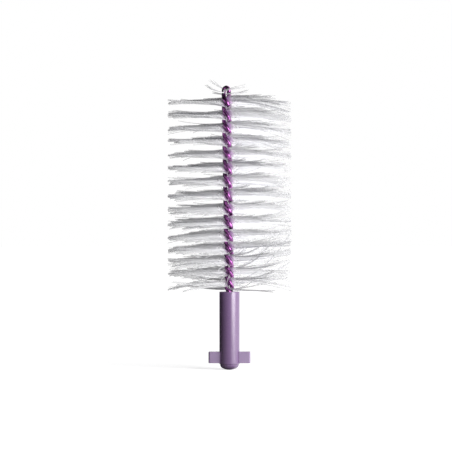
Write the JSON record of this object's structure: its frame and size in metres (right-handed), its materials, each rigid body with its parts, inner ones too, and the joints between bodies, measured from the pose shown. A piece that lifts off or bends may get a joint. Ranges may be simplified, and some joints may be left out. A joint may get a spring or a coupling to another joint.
{
  "type": "interdental brush head",
  "caption": "Interdental brush head: winged click-in plug, a lacquered wire folded in two and twisted left-handed, and rows of clear nylon filaments trimmed to a cylinder.",
  "frame": {"origin": "on the plug's axis, in the plane of the wings' lower faces, where the plug seats in its handle", "axes": "+Z along the wire to the tip, X across the two wings, Y from front to back"},
  "size_m": [0.016, 0.016, 0.0376],
  "materials": {
    "plug_plastic": "satin moulded plastic, muted purple",
    "wire_lacquer": "steel wire under clear purple lacquer",
    "filament_nylon": "clear nylon filament, pale and glossy"
  },
  "bodies": {
    "root": {"plug": "plug_plastic", "wire": "wire_lacquer", "tip_tuft": "filament_nylon", "bristle_row_01": "filament_nylon", "bristle_row_02": "filament_nylon", "bristle_row_03": "filament_nylon", "bristle_row_04": "filament_nylon", "bristle_row_05": "filament_nylon", "bristle_row_06": "filament_nylon", "bristle_row_07": "filament_nylon", "bristle_row_08": "filament_nylon", "bristle_row_09": "filament_nylon", "bristle_row_10": "filament_nylon", "bristle_row_11": "filament_nylon", "bristle_row_12": "filament_nylon", "bristle_row_13": "filament_nylon", "bristle_row_14": "filament_nylon", "bristle_row_15": "filament_nylon"}
  },
  "joints": []
}
